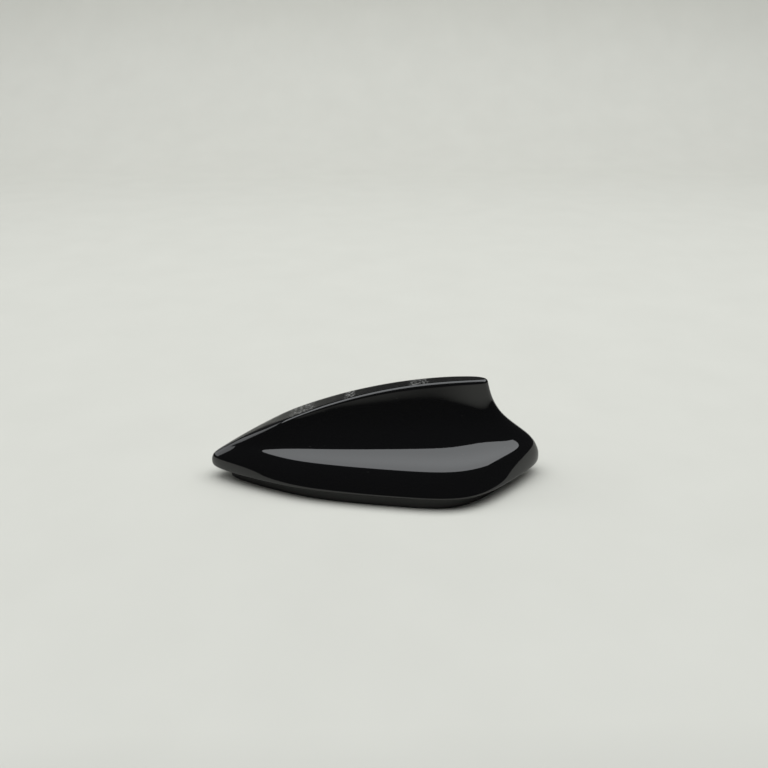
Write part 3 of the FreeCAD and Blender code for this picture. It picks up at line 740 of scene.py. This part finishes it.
# Nylon and PTFE: an even colour with a half-gloss, fine-grained face.
for label, names, low, high in (
    ("black_nylon", ["radiator_carrier"], "#161617", "#222223"),
    ("dark_red_nylon", ["phone_socket_housing"], "#571026", "#6d1a31"),
    ("blue_nylon", ["gnss_socket_housing"], "#123a86", "#1d4b9d"),
    ("white_ptfe", ["phone_socket_insulator", "gnss_socket_insulator"], "#dededa", "#efefec"),
):
    plastic, tree, skin, place = new_finish(label)
    flow = put(tree, "ShaderNodeTexNoise", None, {"Vector": place, "Scale": 1 / (3 * MM), "Detail": 3.0})
    shade = put(tree, "ShaderNodeMix", {"data_type": "RGBA"}, {
        "Factor": flow.outputs["Fac"], "A": colour(low), "B": colour(high),
    })
    grain = put(tree, "ShaderNodeTexNoise", None, {"Vector": place, "Scale": 1 / (0.3 * MM), "Detail": 2.0})
    fine_face = put(tree, "ShaderNodeBump", None, {
        "Height": grain.outputs["Fac"], "Strength": 0.2, "Distance": 0.05 * MM,
    })
    put(tree, skin, None, {
        "IOR": 1.53, "Roughness": 0.5, "Base Color": shade.outputs["Result"],
        "Normal": fine_face.outputs["Normal"],
    })
    dress(names, plastic)


# Socket shells
# Short nickel-plated tubes round each contact, held in the housings and open towards the roof.

# Nickel plate: a hard, slightly warm mirror under a light haze.
nickel, tree, skin, place = new_finish("nickel_plate")
haze = put(tree, "ShaderNodeTexNoise", None, {"Vector": place, "Scale": 1 / (2 * MM), "Detail": 3.0})
shade = put(tree, "ShaderNodeMix", {"data_type": "RGBA"}, {
    "Factor": haze.outputs["Fac"], "A": colour("#c2bfb8"), "B": colour("#dad7d0"),
})
rough = put(tree, "ShaderNodeMapRange", None, {
    "Value": haze.outputs["Fac"], "To Min": 0.12, "To Max": 0.25,
})
put(tree, skin, None, {
    "Metallic": 1.0, "Base Color": shade.outputs["Result"], "Roughness": rough.outputs["Result"],
})
dress(["phone_socket_shell", "gnss_socket_shell"], nickel)


# Floor, light and camera
# A pale card that lies flat under the part and sweeps up behind it, with painted shade at its front and top
# in place of a shadowed table edge and a dim room.
# Wide soft lights hang overhead and to the left, and the rest of the surroundings is dim.
FLOOR_FRONT, FLOOR_BACK, FLOOR_SIDE = -500.0, 1300.0, 1200.0
SWEEP_RADIUS, SWEEP_TOP, SWEEP_STEPS = 350.0, 850.0, 16
PAINTED_SHADE_FRONT = (-450.0, -160.0)            # along y, from painted shade to full colour
PAINTED_SHADE_RISE = (600.0, 300.0)               # up the sweep, from painted shade to full colour
floor_line = [(FLOOR_FRONT, 0.0)]
for k in range(SWEEP_STEPS + 1):
    angle = math.pi / 2 * k / SWEEP_STEPS
    back = FLOOR_BACK - SWEEP_RADIUS * (1 - math.sin(angle))
    floor_line.append((back, SWEEP_RADIUS * (1 - math.cos(angle))))
floor_line.append((FLOOR_BACK, SWEEP_TOP))
floor_points, floor_faces = [], []
for y, z in floor_line:
    floor_points += [(-FLOOR_SIDE, y, z), (FLOOR_SIDE, y, z)]
for k in range(len(floor_line) - 1):
    floor_faces.append((2 * k, 2 * k + 1, 2 * k + 3, 2 * k + 2))
floor_mesh = new_mesh("floor", floor_points, floor_faces)
floor = new_piece("floor", floor_mesh)

# Matt card: an even pale grey, with painted shade at its ends that gives the gloss something dark to mirror.
card, tree, skin, place = new_finish("matt_pale_card_with_painted_shade")
cloud = put(tree, "ShaderNodeTexNoise", None, {"Vector": place, "Scale": 1 / (50 * MM), "Detail": 3.0})
pale = put(tree, "ShaderNodeMix", {"data_type": "RGBA"}, {
    "Factor": cloud.outputs["Fac"], "A": colour("#c9c8c0"), "B": colour("#cfcec6"),
})
spot = put(tree, "ShaderNodeSeparateXYZ", None, {"Vector": place})
# Painted shade: the card's colour darkens towards its front edge and up the sweep.
front = put(tree, "ShaderNodeMapRange", None, {
    "Value": spot.outputs["Y"], "From Min": PAINTED_SHADE_FRONT[0] * MM, "From Max": PAINTED_SHADE_FRONT[1] * MM,
})
rise = put(tree, "ShaderNodeMapRange", None, {
    "Value": spot.outputs["Z"], "From Min": PAINTED_SHADE_RISE[0] * MM, "From Max": PAINTED_SHADE_RISE[1] * MM,
})
painted_shade_fade = put(tree, "ShaderNodeMath", {"operation": "MULTIPLY"}, {
    0: front.outputs["Result"], 1: rise.outputs["Result"],
})
# Mixes the painted shade into the card's pale grey.
shade = put(tree, "ShaderNodeMix", {"data_type": "RGBA"}, {
    "Factor": painted_shade_fade.outputs["Value"], "A": colour("#4c4b48"), "B": pale.outputs["Result"],
})
put(tree, skin, None, {"Roughness": 0.6, "Base Color": shade.outputs["Result"]})
floor_mesh.materials.append(card)

# Each light has a brightness, two opposite corners in metres, and a turn that faces it down or to the right.
LIGHTS = [
    ("overhead_light", 2.9, (-1.4, -0.55, 1.5), (2.0, 1.0, 1.5), 0.0),
    ("left_light", 1.5, (-2.2, -0.2, 0.5), (-2.2, 1.6, 2.2), -math.pi / 2),
]
for name, level, low, high, turn in LIGHTS:
    data = bpy.data.lights.new(name, "AREA")
    data.shape = "RECTANGLE"
    x_span, y_span, z_span = (b - a for a, b in zip(low, high))
    data.size = max(x_span, z_span)
    data.size_y = y_span
    data.energy = level * math.pi * data.size * data.size_y
    data.color = colour("#fafdff")[:3]
    panel = bpy.data.objects.new(name, data)
    panel.location = [(a + b) / 2 for a, b in zip(low, high)]
    panel.rotation_euler = (0.0, turn, 0.0)
    bpy.context.scene.collection.objects.link(panel)

world = bpy.data.worlds.new("dim_surroundings")
world.use_nodes = True
put(world.node_tree, world.node_tree.nodes["Background"], None, {
    "Color": colour("#fbfdff"), "Strength": 0.05,
})
bpy.context.scene.world = world

SENSOR = 36.0
FOCAL_SHARE = 770 / 768                  # focal length, as a share of the picture's width
CAMERA_PLACE = (-0.00441, -0.34086, 0.2010)
CAMERA_TILT, CAMERA_TURN = 66.0, -1.45   # degrees: up from straight down, and round, minus to the right
camera_data = bpy.data.cameras.new("camera")
camera_data.sensor_width = SENSOR
camera_data.lens = SENSOR * FOCAL_SHARE
camera_data.clip_start = 0.01
camera = bpy.data.objects.new("camera", camera_data)
camera.location = CAMERA_PLACE
camera.rotation_euler = (math.radians(CAMERA_TILT), 0.0, math.radians(CAMERA_TURN))
bpy.context.scene.collection.objects.link(camera)
bpy.context.scene.camera = camera
bpy.context.scene.view_settings.view_transform = "Standard"
